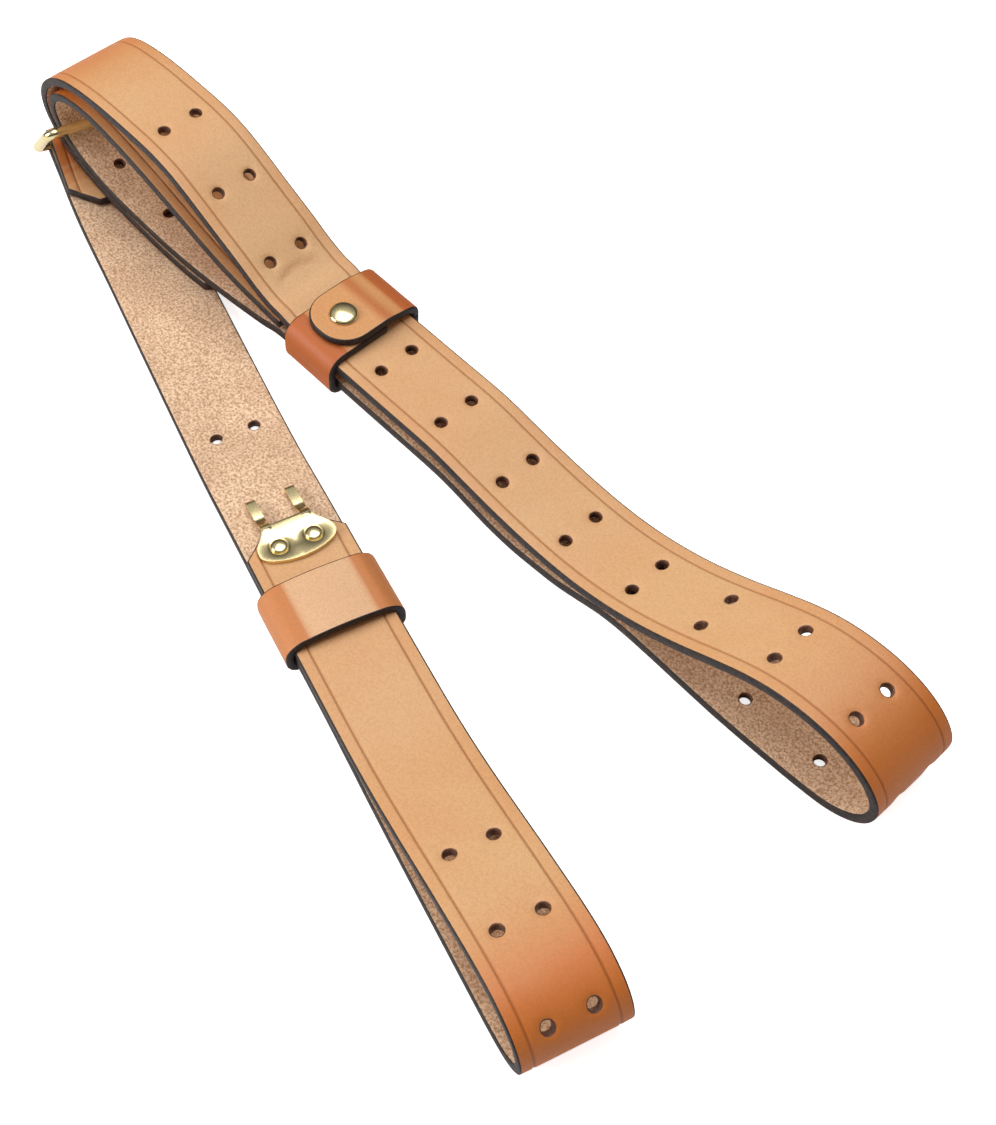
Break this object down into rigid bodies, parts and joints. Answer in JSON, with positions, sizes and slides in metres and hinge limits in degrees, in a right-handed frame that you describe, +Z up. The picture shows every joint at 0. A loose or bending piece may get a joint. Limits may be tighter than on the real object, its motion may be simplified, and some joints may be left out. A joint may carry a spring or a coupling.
{
  "type": "leather carrying sling",
  "caption": "Adjustable two-piece leather carrying sling: perforated straps joined by a wire ring, claw hooks for adjustment and sliding keepers.",
  "frame": {"origin": "centre of the bounding box in plan, on the plane the sling lies on", "axes": "+X along the long strap towards its front loop, +Z up"},
  "size_m": [0.3712, 0.1499, 0.0544],
  "materials": {
    "strap_leather": "smooth tan grain, dark burnished edges, suede underside",
    "keeper_leather": "smooth tan grain, dark cut edges",
    "brass": "polished pale brass",
    "thread": "waxed thread"
  },
  "bodies": {
    "long_strap": {"long_strap": "strap_leather", "long_claw_hook": "brass", "long_hook_rivets": "brass", "long_hook_burrs": "brass"},
    "ring": {"ring": "brass"},
    "short_strap": {"short_strap": "strap_leather", "short_claw_hook": "brass", "short_hook_rivets": "brass", "short_hook_burrs": "brass", "ring_fold_stitching": "thread"},
    "plain_keeper": {"plain_keeper": "keeper_leather", "plain_keeper_staples": "brass"},
    "snap_keeper": {"snap_keeper_band": "keeper_leather", "snap_stud": "brass", "snap_post": "brass"},
    "snap_tab": {"snap_keeper_tab": "keeper_leather", "snap_cap": "brass", "snap_socket": "brass"}
  },
  "joints": [
    {"name": "ring_swing", "type": "hinge", "parent": "long_strap", "child": "ring", "pos_m": [-0.16467, 0.05213, 0.02751], "axis": [0.1727, 0.9794, -0.1045], "range_deg": [0, 12]},
    {"name": "short_strap_swing", "type": "hinge", "parent": "ring", "child": "short_strap", "pos_m": [-0.17774, 0.05294, 0.01348], "axis": [0.1727, 0.9794, -0.1045], "range_deg": [0, 70]},
    {"name": "plain_keeper_slide", "type": "slide", "parent": "short_strap", "child": "plain_keeper", "axis": [0.9578, -0.2874, 0], "range_m": [-0.004, 0.018]},
    {"name": "snap_keeper_slide", "type": "slide", "parent": "long_strap", "child": "snap_keeper", "axis": [0.9976, 0, -0.0698], "range_m": [0, 0.02]},
    {"name": "snap_tab_open", "type": "hinge", "parent": "snap_keeper", "child": "snap_tab", "pos_m": [-0.03864, 0.07128, 0.02111], "axis": [-0.9976, 0, 0.0698], "range_deg": [0, 110]}
  ]
}
